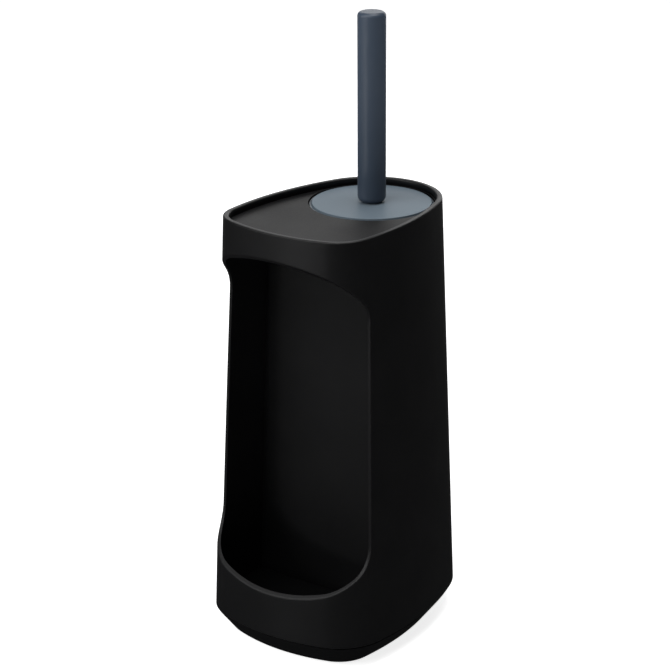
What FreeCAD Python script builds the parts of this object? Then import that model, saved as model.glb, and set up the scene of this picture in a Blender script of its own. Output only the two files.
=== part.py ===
import FreeCAD, Part

import math
import os

import Sketcher
from FreeCAD import Vector

# Free-standing toilet brush holder: a tapered housing with a rounded-triangle plan, a bay for spare
# rolls that is open to the front, and a brush that stands in a lift-out cup in the rear lobe.
# The floor is z = 0, the front faces -Y, and the origin is under the middle of the housing.

doc = FreeCAD.newDocument("toilet_brush_holder")

# ---------------------------------------------------------------- driving sizes, in millimetres
SIZES = {
    # housing, plan and heights
    "rim_height": 420.0,
    "skirt_height": 24.0,
    "base_depth": 249.0,
    "flare": 14.0,
    "corner_spread": 44.1,
    "corner_radius": 36.8,
    "front_arc_radius": 179.0,
    "side_arc_radius": 298.0,
    "lobe_margin": 1.9,
    "wall": 3.6,
    "rim_width": 5.6,
    "rim_recess": 6.6,
    # opening of the roll bay
    "header_height": 25.5,
    "sill_height": 42.1,
    "opening_wrap": 43.8,
    "top_slope": 42.4,
    "bottom_slope": 41.2,
    "top_turn_radius": 31.0,
    "bottom_turn_radius": 40.0,
    "cutter_reach": 45.0,
    # clearances
    "fit_gap": 0.3,
    "shaft_gap": 0.05,
    "well_gap": 1.1,
    "cup_gap": 1.0,
    "spigot_gap": 1.2,
    "bay_clearance": 7.5,
    # deck with the brush well
    "deck_thickness": 3.0,
    "deck_skirt": 8.0,
    "skirt_rib": 2.4,
    "ledge_width": 7.0,
    "well_wall": 2.0,
    "axis_setback": 1.2,
    # partition, base and fasteners
    "panel_thickness": 2.6,
    "base_top": 29.5,
    "base_plate": 3.0,
    "base_wall": 2.8,
    "seam_gap": 0.6,
    "seam_inset": 1.5,
    "plinth_inset": 18.0,
    "floor_gap": 1.2,
    "foot_radius": 8.0,
    "foot_thickness": 2.6,
    "post_wall": 1.6,
    "foot_outset": 3.9,
    "foot_lobe_inset": 32.0,
    "foot_front_setback": 54.5,
    "foot_rear_setback": 56.5,
    "boss_radius": 6.5,
    "boss_height": 16.0,
    "boss_web": 3.0,
    "boss_overlap": 1.0,
    "boss_angle": 40.0,
    "panel_boss_spread": 55.0,
    "panel_boss_radius": 4.5,
    "screw_radius": 1.75,
    "screw_length": 15.0,
    "head_radius": 3.6,
    "head_height": 2.4,
    # brush and its cup
    "lid_radius": 58.1,
    "lid_thickness": 3.5,
    "lid_edge": 1.0,
    "lid_proud": 0.5,
    "flange_thickness": 1.2,
    "lip_width": 1.1,
    "lip_height": 1.8,
    "head_room": 20.9,
    "cup_wall": 1.8,
    "cup_taper": 5.5,
    "cup_bottom_radius": 12.0,
    "spigot_depth": 9.0,
    "spigot_wall": 2.0,
    "hub_radius": 10.0,
    "hub_depth": 12.0,
    "nut_radius": 9.0,
    "nut_height": 6.0,
    "grip_radius": 13.55,
    "grip_length": 184.3,
    "grip_top_radius": 4.0,
    "grip_foot_radius": 6.0,
    "spine_radius": 8.5,
    "spine_end": 10.0,
    "stem_radius": 5.0,
    "stem_drop": 160.0,
    "stud_radius": 3.0,
    "stud_length": 26.0,
    "insert_radius": 5.0,
    "core_radius": 9.5,
    "core_foot_radius": 7.0,
    "core_length": 78.0,
    "bristle_gap": 7.2,
    "bristle_length": 84.0,
    "bristle_start": 8.0,
}

sheet = doc.addObject("Spreadsheet::Sheet", "Sizes")
for row, (alias, size) in enumerate(SIZES.items(), start=1):
    sheet.set(f"A{row}", alias)
    sheet.set(f"B{row}", str(size))
    sheet.setAlias(f"B{row}", alias)
doc.recompute()


def cell(text):
    """Expression text in which each word that is an alias points at its cell of the sheet."""
    words = "".join(c if c.isalnum() or c == "_" else " " for c in text).split()
    for word in sorted(set(words) & set(SIZES), key=len, reverse=True):
        text = replace_word(text, word, f"Sizes.{word}")
    return text


def replace_word(text, word, new):
    out = ""
    i = 0
    while i < len(text):
        before = text[i - 1] if i else " "
        after = text[i + len(word)] if i + len(word) < len(text) else " "
        alone = not (before.isalnum() or before in "_.") and not (after.isalnum() or after == "_")
        if text.startswith(word, i) and alone:
            out += new
            i += len(word)
        else:
            out += text[i]
            i += 1
    return out


def number(text):
    """The value that an expression has now."""
    found = sheet.evalExpression(cell(text))
    return float(getattr(found, "Value", found))


# ---------------------------------------------------------------- sizes that follow from the others
HALF_DEPTH = "(base_depth / 2)"
FLANGE_RADIUS = "(lid_radius + fit_gap + lip_width)"
WELL_RADIUS = f"({FLANGE_RADIUS} + well_gap)"
LOBE_RADIUS = f"({WELL_RADIUS} + lobe_margin + rim_width)"
LOBE_Y = f"({HALF_DEPTH} - flare - {LOBE_RADIUS})"
AXIS_Y = f"({LOBE_Y} + axis_setback)"
FRONT_CENTRE_Y = f"(front_arc_radius + flare - {HALF_DEPTH})"
DECK_TOP = "(rim_height - rim_recess)"
LEDGE_TOP = f"({DECK_TOP} + lid_proud - lid_thickness - flange_thickness)"
LID_TOP = f"({DECK_TOP} + lid_proud)"
LID_UNDER = f"({LID_TOP} - lid_thickness)"
LEDGE_RADIUS = f"({FLANGE_RADIUS} - ledge_width)"
CUP_RADIUS = f"({LEDGE_RADIUS} - cup_gap)"
PANEL_REAR_Y = f"({AXIS_Y} - {CUP_RADIUS} - bay_clearance)"
PANEL_FRONT_Y = f"({PANEL_REAR_Y} - panel_thickness)"
PANEL_BOSS_Y = f"({PANEL_REAR_Y} + panel_boss_radius - boss_overlap)"
SPIGOT_RADIUS = f"({CUP_RADIUS} - cup_wall - spigot_gap)"
STEM_END = f"({LID_TOP} - stem_drop)"
BRISTLE_RADIUS = f"({CUP_RADIUS} - cup_taper - cup_wall - bristle_gap)"
FOOT_FRONT_Y = f"(foot_front_setback - {HALF_DEPTH})"
FOOT_REAR_Y = f"({HALF_DEPTH} - foot_rear_setback)"
FOOT_FRONT_X = "(corner_spread + foot_outset)"
FOOT_REAR_X = f"({LOBE_RADIUS} - foot_lobe_inset)"


def growth(height):
    """How far the outline at a height stands outside the outline of the rim."""
    return f"(flare * (rim_height - ({height})) / (rim_height - skirt_height))"


BOSS_REACH = f"({LOBE_RADIUS} + flare - plinth_inset - base_wall - head_radius - 1)"
BOSS_WEB_END = f"({LOBE_RADIUS} + {growth('base_top')} - wall / 2)"


# ---------------------------------------------------------------- helpers for bodies and sketches
def new_body(label):
    body = doc.addObject("PartDesign::Body", label)
    body.Label = label
    return body


def origin_plane(body, role):
    return next(f for f in body.Origin.OriginFeatures if f.Role == role)


def new_sketch(body, name, role="XY_Plane", height="0"):
    """An empty sketch on one of the body's own planes, lifted along that plane's normal."""
    sketch = body.newObject("Sketcher::SketchObject", name)
    sketch.AttachmentSupport = [(origin_plane(body, role), "")]
    sketch.MapMode = "FlatFace"
    sketch.setExpression("AttachmentOffset.Base.z", cell(height))
    return sketch


def bind(sketch, constraint, text):
    """Adds a constraint whose value is bound to the sheet."""
    index = sketch.addConstraint(Sketcher.Constraint(*constraint, number(text)))
    sketch.setExpression(f"Constraints[{index}]", cell(text))


def tie_point(sketch, geometry, point, x, y):
    bind(sketch, ("DistanceX", -1, 1, geometry, point), x)
    bind(sketch, ("DistanceY", -1, 1, geometry, point), y)


def arc(centre, radius, start, end):
    circle = Part.Circle(Vector(centre[0], centre[1], 0), Vector(0, 0, 1), radius)
    return Part.ArcOfCircle(circle, start, end)


def plan_sketch(body, name, height, grow):
    """The housing's rounded-triangle plan: a front arc, two front corners, two long side arcs and the
    rear lobe, each tangent to the next. grow moves the whole outline outwards."""
    sketch = new_sketch(body, name, "XY_Plane", height)
    extra = number(grow)
    front = number("front_arc_radius") + extra
    corner = number("corner_radius") + extra
    side = number("side_arc_radius") + extra
    lobe = number(LOBE_RADIUS) + extra
    front_y = number(FRONT_CENTRE_Y)
    lobe_y = number(LOBE_Y)
    spread = number("corner_spread")
    corner_y = front_y - math.sqrt((front - corner) ** 2 - spread**2)
    to_corner = side - corner
    to_lobe = side - lobe
    span = math.hypot(spread, corner_y - lobe_y)
    along = (to_corner**2 - to_lobe**2 + span**2) / (2 * span)
    across = math.sqrt(to_corner**2 - along**2)
    ux = -spread / span
    uy = (lobe_y - corner_y) / span
    side_x = spread + ux * along - uy * across
    side_y = corner_y + uy * along + ux * across
    a_front = math.atan2(corner_y - front_y, spread)
    a_corner = math.atan2(corner_y - side_y, spread - side_x)
    a_side = math.atan2(lobe_y - side_y, -side_x)
    arcs = [
        arc((0, front_y), front, -math.pi - a_front, a_front),
        arc((spread, corner_y), corner, a_front, a_corner),
        arc((side_x, side_y), side, a_corner, a_side),
        arc((0, lobe_y), lobe, a_side, math.pi - a_side),
        arc((-side_x, side_y), side, math.pi - a_side, math.pi - a_corner),
        arc((-spread, corner_y), corner, math.pi - a_corner, math.pi - a_front),
    ]
    sketch.addGeometry(arcs, False)
    for i in range(len(arcs)):
        sketch.addConstraint(Sketcher.Constraint("Tangent", i, 2, (i + 1) % len(arcs), 1))
    tie_point(sketch, 0, 3, "0", FRONT_CENTRE_Y)
    tie_point(sketch, 3, 3, "0", LOBE_Y)
    bind(sketch, ("DistanceX", -1, 1, 1, 3), "corner_spread")
    bind(sketch, ("DistanceX", -1, 1, 5, 3), "-corner_spread")
    radii = ["front_arc_radius", "corner_radius", "side_arc_radius", LOBE_RADIUS]
    for i, radius in enumerate(radii + ["side_arc_radius", "corner_radius"]):
        bind(sketch, ("Radius", i), f"{radius} + ({grow})")
    return sketch


def profile_sketch(body, name, corners, role="XZ_Plane", height="0"):
    """A closed outline through corners (x, y) or (x, y, radius). A radius rounds its corner."""
    sketch = new_sketch(body, name, role, height)
    fill_profile(sketch, corners)
    return sketch


def fill_profile(sketch, corners):
    count = len(corners)
    points = [Vector(number(c[0]), number(c[1]), 0) for c in corners]
    radii = [number(c[2]) if len(c) > 2 else 0.0 for c in corners]
    starts = []
    ends = []
    bends = {}
    for i, here in enumerate(points):
        back = (points[i - 1] - here).normalize()
        ahead = (points[(i + 1) % count] - here).normalize()
        trim = radii[i] / math.tan(back.getAngle(ahead) / 2)
        ends.append(here + back * trim)
        starts.append(here + ahead * trim)
        if radii[i]:
            middle = (back + ahead).normalize()
            centre = here + middle * math.hypot(trim, radii[i])
            turn = back.x * ahead.y - back.y * ahead.x
            bends[i] = (centre, turn < 0)
    lines = [Part.LineSegment(starts[i], ends[(i + 1) % count]) for i in range(count)]
    sketch.addGeometry(lines, False)
    for i, here in enumerate(points):
        before = (i - 1) % count
        if i not in bends:
            sketch.addConstraint(Sketcher.Constraint("Coincident", before, 2, i, 1))
            tie_point(sketch, i, 1, corners[i][0], corners[i][1])
            continue
        centre, left = bends[i]
        first, last = (ends[i], starts[i]) if left else (starts[i], ends[i])
        a_first = math.atan2(first.y - centre.y, first.x - centre.x)
        a_last = math.atan2(last.y - centre.y, last.x - centre.x)
        if a_last < a_first:
            a_last += 2 * math.pi
        bend = sketch.addGeometry(arc(centre, radii[i], a_first, a_last), False)
        sketch.addConstraint(Sketcher.Constraint("Tangent", before, 2, bend, 1 if left else 2))
        sketch.addConstraint(Sketcher.Constraint("Tangent", i, 1, bend, 2 if left else 1))
        bind(sketch, ("Radius", bend), corners[i][2])
        sharp = sketch.addGeometry(Part.Point(here), True)
        sketch.addConstraint(Sketcher.Constraint("PointOnObject", sharp, 1, before))
        sketch.addConstraint(Sketcher.Constraint("PointOnObject", sharp, 1, i))
        tie_point(sketch, sharp, 1, corners[i][0], corners[i][1])


def circle_sketch(body, name, height, circles):
    """Circles (x, y, radius) on a level plane."""
    sketch = new_sketch(body, name, "XY_Plane", height)
    for x, y, radius in circles:
        centre = Vector(number(x), number(y), 0)
        circle = Part.Circle(centre, Vector(0, 0, 1), number(radius))
        i = sketch.addGeometry(circle, False)
        tie_point(sketch, i, 3, x, y)
        bind(sketch, ("Radius", i), radius)
    return sketch


def loft(body, kind, name, low, high):
    """A straight-sided loft from one plan to another. kind is AdditiveLoft or SubtractiveLoft."""
    feature = body.newObject(f"PartDesign::{kind}", name)
    feature.Profile = low
    feature.Sections = [high]
    feature.Ruled = True
    doc.recompute()
    return feature


def pad(body, name, sketch, length, down=False):
    feature = body.newObject("PartDesign::Pad", name)
    feature.Profile = sketch
    feature.Reversed = down
    feature.setExpression("Length", cell(length))
    doc.recompute()
    return feature


def pocket(body, name, sketch, length, up=False):
    """Cuts the sketch away downwards, or upwards, and checks that something was cut."""
    before = body.Shape.Volume
    feature = body.newObject("PartDesign::Pocket", name)
    feature.Profile = sketch
    feature.Reversed = up
    feature.setExpression("Length", cell(length))
    doc.recompute()
    if body.Shape.Volume > before - 1:
        raise RuntimeError(f"{body.Label}: {name} cut nothing")
    return feature


def revolved(label, corners):
    """A round piece about the brush's axis, from its half section (radius, height)."""
    body = new_body(label)
    sketch = profile_sketch(body, f"{label}_section", corners)
    turn = body.newObject("PartDesign::Revolution", f"{label}_turn")
    turn.Profile = sketch
    turn.ReferenceAxis = (sketch, ["V_Axis"])
    turn.Angle = 360
    body.setExpression("Placement.Base.y", cell(AXIS_Y))
    doc.recompute()
    return body


# ---------------------------------------------------------------- the holder
def rear_boss_places():
    """Centres of the two screw bosses in the rear lobe."""
    x = f"({BOSS_REACH} * sin(boss_angle * 1deg))"
    y = f"({LOBE_Y} + {BOSS_REACH} * cos(boss_angle * 1deg))"
    return [(x, y), (f"(-{x})", y)]


def web_corners(side):
    """Plan of the web that joins a rear boss to the housing's wall. side is 1 or -1."""
    corners = []
    for reach, half in ((BOSS_REACH, -0.5), (BOSS_REACH, 0.5), (BOSS_WEB_END, 0.5), (BOSS_WEB_END, -0.5)):
        shift = f"boss_web * {half}"
        x = f"({side} * ({reach} * sin(boss_angle * 1deg) + {shift} * cos(boss_angle * 1deg)))"
        y = f"({LOBE_Y} + {reach} * cos(boss_angle * 1deg) - {shift} * sin(boss_angle * 1deg))"
        corners.append((x, y))
    return corners


def panel_boss_places():
    return [("panel_boss_spread", PANEL_BOSS_Y), ("-panel_boss_spread", PANEL_BOSS_Y)]


def foot_places():
    return [
        (FOOT_FRONT_X, FOOT_FRONT_Y),
        (f"(-{FOOT_FRONT_X})", FOOT_FRONT_Y),
        (FOOT_REAR_X, FOOT_REAR_Y),
        (f"(-{FOOT_REAR_X})", FOOT_REAR_Y),
    ]


def opening_corners():
    """The bay's opening seen from the side. Its top and bottom slope back from the front face, and its
    rear edge runs parallel to the front face, opening_wrap behind it. Two corners are rounded."""
    lean = "(flare / (rim_height - skirt_height))"
    top = "(rim_height - header_height)"
    bottom = "(skirt_height + sill_height)"
    rise = "tan(top_slope * 1deg)"
    fall = "tan(bottom_slope * 1deg)"
    outline = []
    for z, behind, radius in (
        (f"({bottom} - {fall} * cutter_reach)", "-cutter_reach", None),
        (f"({bottom} + {fall} * opening_wrap)", "opening_wrap", "bottom_turn_radius"),
        (f"({top} - {rise} * opening_wrap)", "opening_wrap", "top_turn_radius"),
        (f"({top} + {rise} * cutter_reach)", "-cutter_reach", None),
    ):
        y = f"({lean} * ({z} - skirt_height) - {HALF_DEPTH} + {behind})"
        outline.append((y, z, radius) if radius else (y, z))
    return outline


def outer_shell():
    """Tapered housing, open at the bottom, with a rim round the deck and the bay's opening."""
    body = new_body("outer_shell")
    low = plan_sketch(body, "shell_skirt_plan", "skirt_height", growth("skirt_height"))
    high = plan_sketch(body, "shell_rim_plan", "rim_height", growth("rim_height"))
    loft(body, "AdditiveLoft", "shell_outside", low, high)
    below = "skirt_height - 2"
    low = plan_sketch(body, "shell_inner_low", below, f"{growth(below)} - wall")
    high = plan_sketch(body, "shell_inner_high", DECK_TOP, f"{growth(DECK_TOP)} - wall")
    loft(body, "SubtractiveLoft", "shell_inside", low, high)
    rim = plan_sketch(body, "shell_rim_inner", "rim_height", "-rim_width")
    pocket(body, "shell_rim_recess", rim, "rim_recess + 1")
    bosses = [(x, y, "boss_radius") for x, y in rear_boss_places()]
    sketch = circle_sketch(body, "shell_boss_plan", "base_top", bosses)
    pad(body, "shell_bosses", sketch, "boss_height")
    for name, side in (("right", 1), ("left", -1)):
        web = profile_sketch(body, f"shell_web_{name}", web_corners(side), "XY_Plane", "base_top")
        pad(body, f"shell_{name}_web", web, "boss_height")
    holes = [(x, y, "screw_radius + shaft_gap") for x, y in rear_boss_places()]
    sketch = circle_sketch(body, "shell_boss_bores", "base_top", holes)
    pocket(body, "shell_boss_holes", sketch, "screw_length - base_plate + 1", up=True)
    side = profile_sketch(body, "shell_opening_side", opening_corners(), "YZ_Plane")
    cut = body.newObject("PartDesign::Pocket", "shell_opening")
    cut.Profile = side
    cut.Midplane = True
    cut.setExpression("Length", cell("base_depth * 2"))
    doc.recompute()
    return body


def top_deck():
    """Recessed top plate under the rim, with a stepped round well for the cup and the lid."""
    body = new_body("top_deck")
    inset = f"{growth(DECK_TOP)} - wall - fit_gap"
    bottom = f"{DECK_TOP} - deck_skirt"
    plate = plan_sketch(body, "deck_plan", bottom, inset)
    pad(body, "deck_block", plate, "deck_skirt")
    hollow = plan_sketch(body, "deck_hollow_plan", bottom, f"{inset} - skirt_rib")
    pocket(body, "deck_hollow", hollow, "deck_skirt - deck_thickness", up=True)
    ring = circle_sketch(body, "deck_ring_plan", bottom, [("0", AXIS_Y, f"{WELL_RADIUS} + well_wall")])
    pad(body, "deck_ring", ring, "deck_skirt")
    recess = circle_sketch(body, "deck_recess_plan", DECK_TOP, [("0", AXIS_Y, WELL_RADIUS)])
    pocket(body, "deck_recess", recess, f"{DECK_TOP} - {LEDGE_TOP}")
    mouth = circle_sketch(body, "deck_mouth_plan", DECK_TOP, [("0", AXIS_Y, LEDGE_RADIUS)])
    pocket(body, "deck_mouth", mouth, "deck_skirt + 1")
    return body


def partition_panel():
    """Flat wall between the roll bay and the brush, cut from the inside of the housing."""
    body = new_body("partition_panel")
    top = f"({DECK_TOP} - deck_skirt)"
    inset = "- wall - fit_gap"
    low = plan_sketch(body, "panel_low", "base_top", growth("base_top") + inset)
    high = plan_sketch(body, "panel_high", top, growth(top) + inset)
    loft(body, "AdditiveLoft", "panel_block", low, high)
    reach = "base_depth"
    for name, near, far in (("front", PANEL_FRONT_Y, f"-{reach}"), ("rear", PANEL_REAR_Y, reach)):
        corners = [(f"-{reach}", near), (reach, near), (reach, far), (f"-{reach}", far)]
        sketch = profile_sketch(body, f"panel_{name}_cut", corners, "XY_Plane", top)
        pocket(body, f"panel_{name}", sketch, f"{top} - base_top + 1")
    bosses = [(x, y, "panel_boss_radius") for x, y in panel_boss_places()]
    sketch = circle_sketch(body, "panel_boss_plan", "base_top", bosses)
    pad(body, "panel_bosses", sketch, "boss_height")
    holes = [(x, y, "screw_radius + shaft_gap") for x, y in panel_boss_places()]
    sketch = circle_sketch(body, "panel_boss_bores", "base_top", holes)
    pocket(body, "panel_boss_holes", sketch, "screw_length - base_plate + 1", up=True)
    return body


def base_plinth():
    """Tray that closes the housing: its top plate is the floor of the roll bay, and its wall tapers in
    to the floor below the skirt."""
    body = new_body("base_plinth")
    seam = "(skirt_height - seam_gap)"
    low = plan_sketch(body, "plinth_low", "floor_gap", "flare - plinth_inset")
    high = plan_sketch(body, "plinth_high", seam, "flare - seam_inset")
    loft(body, "AdditiveLoft", "plinth_outside", low, high)
    plug = plan_sketch(body, "plinth_plug_plan", seam, f"{growth('base_top')} - wall - fit_gap")
    pad(body, "plinth_plug", plug, f"base_top - {seam}")
    low = plan_sketch(body, "plinth_inner_low", "0", "flare - plinth_inset - base_wall")
    top = "(base_top - base_plate)"
    high = plan_sketch(body, "plinth_inner_high", top, "flare - wall - fit_gap - base_wall")
    loft(body, "SubtractiveLoft", "plinth_inside", low, high)
    posts = [(x, y, "foot_radius + post_wall") for x, y in foot_places()]
    sketch = circle_sketch(body, "plinth_post_plan", "foot_thickness", posts)
    pad(body, "plinth_posts", sketch, f"{top} + 1 - foot_thickness")
    places = panel_boss_places() + rear_boss_places()
    bores = [(x, y, "screw_radius + shaft_gap") for x, y in places]
    sketch = circle_sketch(body, "plinth_bore_plan", "base_top", bores)
    pocket(body, "plinth_bores", sketch, "base_plate + 1")
    return body


def cylinder(name, x, y, z, radius, height):
    shape = doc.addObject("Part::Cylinder", name)
    shape.setExpression("Radius", cell(radius))
    shape.setExpression("Height", cell(height))
    shape.setExpression("Placement.Base.x", cell(x))
    shape.setExpression("Placement.Base.y", cell(y))
    shape.setExpression("Placement.Base.z", cell(z))
    return shape


def group(label, members):
    compound = doc.addObject("Part::Compound", label)
    compound.Label = label
    compound.Links = members
    return compound


def base_screws():
    """Four self-tapping screws, up through the base into the panel's and the housing's bosses."""
    under = "(base_top - base_plate)"
    screws = []
    for i, (x, y) in enumerate(panel_boss_places() + rear_boss_places()):
        head = cylinder(f"screw_head_{i}", x, y, f"{under} - head_height", "head_radius", "head_height")
        shank = cylinder(f"screw_shank_{i}", x, y, f"{under} - 0.5", "screw_radius", "screw_length + 0.5")
        screw = doc.addObject("Part::Fuse", f"screw_{i}")
        screw.Base = head
        screw.Tool = shank
        screws.append(screw)
    return group("base_screws", screws)


def rubber_feet():
    """Four pads under the base's posts."""
    feet = []
    for i, (x, y) in enumerate(foot_places()):
        feet.append(cylinder(f"foot_{i}", x, y, "0", "foot_radius", "foot_thickness"))
    return group("rubber_feet", feet)


# ---------------------------------------------------------------- the brush and its cup
def drip_cup():
    """Lift-out cup that hangs by its flange on the deck's ledge and catches what drips. A low lip round
    the flange keeps the lid in the middle."""
    foot = f"({STEM_END} - bristle_length - head_room - cup_wall)"
    seat = f"({LEDGE_TOP} + flange_thickness)"
    lip = f"({seat} + lip_height)"
    narrow = f"({CUP_RADIUS} - cup_taper)"
    return revolved(
        "drip_cup",
        [
            ("0", foot),
            (narrow, foot, "cup_bottom_radius"),
            (CUP_RADIUS, LEDGE_TOP),
            (FLANGE_RADIUS, LEDGE_TOP),
            (FLANGE_RADIUS, lip),
            ("lid_radius + fit_gap", lip),
            ("lid_radius + fit_gap", seat),
            (f"{CUP_RADIUS} - cup_wall", seat),
            (f"{narrow} - cup_wall", f"{foot} + cup_wall", "cup_bottom_radius - cup_wall"),
            ("0", f"{foot} + cup_wall"),
        ],
    )


def lid_disc():
    """Round lid on the cup's flange, with a skirt that centres it and a hub for the stem."""
    bore = "(stem_radius + shaft_gap)"
    return revolved(
        "lid_disc",
        [
            (bore, LID_TOP),
            (bore, f"{LID_UNDER} - hub_depth"),
            ("hub_radius", f"{LID_UNDER} - hub_depth"),
            ("hub_radius", LID_UNDER),
            (f"{SPIGOT_RADIUS} - spigot_wall", LID_UNDER),
            (f"{SPIGOT_RADIUS} - spigot_wall", f"{LID_UNDER} - spigot_depth"),
            (SPIGOT_RADIUS, f"{LID_UNDER} - spigot_depth"),
            (SPIGOT_RADIUS, LID_UNDER),
            ("lid_radius", LID_UNDER),
            ("lid_radius", LID_TOP, "lid_edge"),
        ],
    )


def brush_stem():
    """Rigid spine inside the grip, which narrows to the stem that carries the brush head."""
    shoulder = f"({LID_TOP} + spine_end)"
    return revolved(
        "brush_stem",
        [
            ("0", f"{LID_TOP} + grip_length - spine_end"),
            ("0", f"{STEM_END} + stud_length / 2"),
            ("stud_radius + shaft_gap", f"{STEM_END} + stud_length / 2"),
            ("stud_radius + shaft_gap", STEM_END),
            ("stem_radius", STEM_END),
            ("stem_radius", shoulder),
            ("spine_radius", shoulder),
            ("spine_radius", f"{LID_TOP} + grip_length - spine_end"),
        ],
    )


def handle_grip():
    """Soft-touch grip moulded round the spine, with rounded ends."""
    bottom = f"({LID_TOP} + fit_gap)"
    top = f"({LID_TOP} + grip_length)"
    neck = "(stem_radius + shaft_gap)"
    room = "(spine_radius + shaft_gap)"
    shoulder = f"({LID_TOP} + spine_end - shaft_gap)"
    return revolved(
        "handle_grip",
        [
            ("0", top),
            ("0", f"{top} - spine_end + shaft_gap"),
            (room, f"{top} - spine_end + shaft_gap"),
            (room, shoulder),
            (neck, shoulder),
            (neck, bottom),
            ("grip_radius", bottom, "grip_foot_radius"),
            ("grip_radius", top, "grip_top_radius"),
        ],
    )


def ring(label, inner, outer, low, high):
    return revolved(label, [(inner, low), (outer, low), (outer, high), (inner, high)])


def lid_nut():
    """Nut on the stem that holds the lid up against the grip."""
    high = f"({LID_UNDER} - hub_depth)"
    return ring("lid_nut", "stem_radius + shaft_gap", "nut_radius", f"{high} - nut_height", high)


def thread_stud():
    """Metal stud set in the end of the stem, which the head screws on to."""
    low = f"({STEM_END} - stud_length / 2)"
    high = f"({STEM_END} + stud_length / 2)"
    return revolved("thread_stud", [("0", low), ("stud_radius", low), ("stud_radius", high), ("0", high)])


def head_insert():
    """Threaded insert in the top of the head's core."""
    bore = "stud_radius + shaft_gap"
    return ring("head_insert", bore, "insert_radius", f"{STEM_END} - stud_length / 2 - 2", STEM_END)


def head_core():
    """Core that carries the bristles, with a pocket for the threaded insert."""
    low = f"({STEM_END} - core_length)"
    pocket_floor = f"({STEM_END} - stud_length / 2 - 2)"
    return revolved(
        "head_core",
        [
            ("0", low),
            ("core_foot_radius", low),
            ("core_radius", STEM_END),
            ("insert_radius + shaft_gap", STEM_END),
            ("insert_radius + shaft_gap", pocket_floor),
            ("0", pocket_floor),
        ],
    )


def bristles():
    """Outer shape of the bristles round the core and below its end."""
    high = f"({STEM_END} - bristle_start)"
    low = f"({STEM_END} - bristle_length)"
    core_low = f"({STEM_END} - core_length)"
    slope = "(core_radius - core_foot_radius) / core_length"
    return revolved(
        "bristles",
        [
            ("0", low),
            (BRISTLE_RADIUS, low, f"{BRISTLE_RADIUS} / 2"),
            (BRISTLE_RADIUS, high, f"{BRISTLE_RADIUS} / 4"),
            (f"core_radius - {slope} * bristle_start + shaft_gap", high),
            ("core_foot_radius + shaft_gap", f"{core_low} - shaft_gap"),
            ("0", f"{core_low} - shaft_gap"),
        ],
    )


PIECES = [
    outer_shell,
    top_deck,
    partition_panel,
    base_plinth,
    base_screws,
    rubber_feet,
    drip_cup,
    lid_disc,
    handle_grip,
    brush_stem,
    lid_nut,
    thread_stud,
    head_insert,
    head_core,
    bristles,
]

built = [make() for make in PIECES]
doc.recompute()

for item in doc.Objects:
    if {"Invalid", "Error"} & set(item.State):
        raise RuntimeError(f"{item.Label} failed: {item.State}")
for piece in built:
    if piece.Shape.isNull() or not piece.Shape.isValid():
        raise RuntimeError(f"{piece.Label} has no valid shape")

os.makedirs("parts", exist_ok=True)
for piece in built:
    piece.Shape.exportStep(f"parts/{piece.Label}.step")
    bounds = piece.Shape.BoundBox
    spans = f"x {bounds.XMin:.1f}..{bounds.XMax:.1f} y {bounds.YMin:.1f}..{bounds.YMax:.1f}"
    print(f"{piece.Label}: {len(piece.Shape.Solids)} solids, {spans} z {bounds.ZMin:.1f}..{bounds.ZMax:.1f}")
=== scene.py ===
import math
from functools import partial

import bmesh
import bpy
import numpy as np
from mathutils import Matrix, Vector


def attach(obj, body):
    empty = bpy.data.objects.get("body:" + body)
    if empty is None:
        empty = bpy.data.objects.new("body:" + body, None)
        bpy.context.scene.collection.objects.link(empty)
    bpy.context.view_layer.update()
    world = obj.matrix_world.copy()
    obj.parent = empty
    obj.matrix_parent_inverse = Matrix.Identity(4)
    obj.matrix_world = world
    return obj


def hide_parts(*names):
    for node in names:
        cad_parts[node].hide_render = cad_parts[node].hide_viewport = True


bl_info = {
    "name": "Toilet Brush Holder",
    "version": (1, 0, 0),
    "blender": (4, 5, 0),
    "location": "View3D > Sidebar > Brush Holder",
    "description": "Builds a free-standing toilet brush holder with a bay for spare rolls",
    "category": "Object",
}

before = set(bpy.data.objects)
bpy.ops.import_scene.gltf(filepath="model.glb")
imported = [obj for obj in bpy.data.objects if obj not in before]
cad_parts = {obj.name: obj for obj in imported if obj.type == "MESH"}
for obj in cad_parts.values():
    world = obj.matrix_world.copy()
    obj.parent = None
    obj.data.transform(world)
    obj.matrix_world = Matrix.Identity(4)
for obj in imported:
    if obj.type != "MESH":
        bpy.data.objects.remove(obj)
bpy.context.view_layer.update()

# Lengths are millimetres, which become metres where a mesh is made. Only the settings and the stage
# are in metres. The front faces -Y.
MM = 0.001
RIM_Z = 420.0
SKIRT_Z = 24.0
DECK_Z = 413.4
DECK_LOW_Z = 405.4
FLARE = 14.0
WALL = 3.6
RIM_WIDTH = 5.6
FRONT_Y = -110.5
AXIS = (0.0, 43.6)
FRONT_RADIUS = 179.0
CORNER_RADIUS = 36.8
CORNER_X = 44.1
SIDE_RADIUS = 298.0
LOBE_RADIUS = 68.1
LOBE_Y = 42.4
LID_Z = 413.9
HUB_LOW_Z = 398.4
BASE_Z = 29.5
STEM_END_Z = 253.9
STUD_TOP_Z = 266.9
INSERT_LOW_Z = 238.9
CORE_LOW_Z = 175.9

# The cup's flange lies on the well's ledge, and the lid lies on the flange.
LEDGE_Z = 409.2
FLANGE_Z = 410.4

# What is fitted together: the gap beside a plate, the bores for the stem and the insert, whose radius
# is 5, and the bores and bosses for the screws.
FIT_GAP = 0.3
BORE = 5.05
SCREW_RADIUS = 1.75
SCREW_BORE = 1.85
BOSS_TOP_Z = 45.5
BOSS_REACH = 56.7
BOSS_ANGLE = math.radians(40)
PANEL_SCREW = (55.0, -11.9)
FOOT_PLACES = [(48.0, -70.0), (-48.0, -70.0), (36.1, 68.0), (-36.1, 68.0)]

# The rounding of the opening's edge, outside and inside.
EDGE_ROUND = 0.9
INNER_ROUND = 0.5

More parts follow.
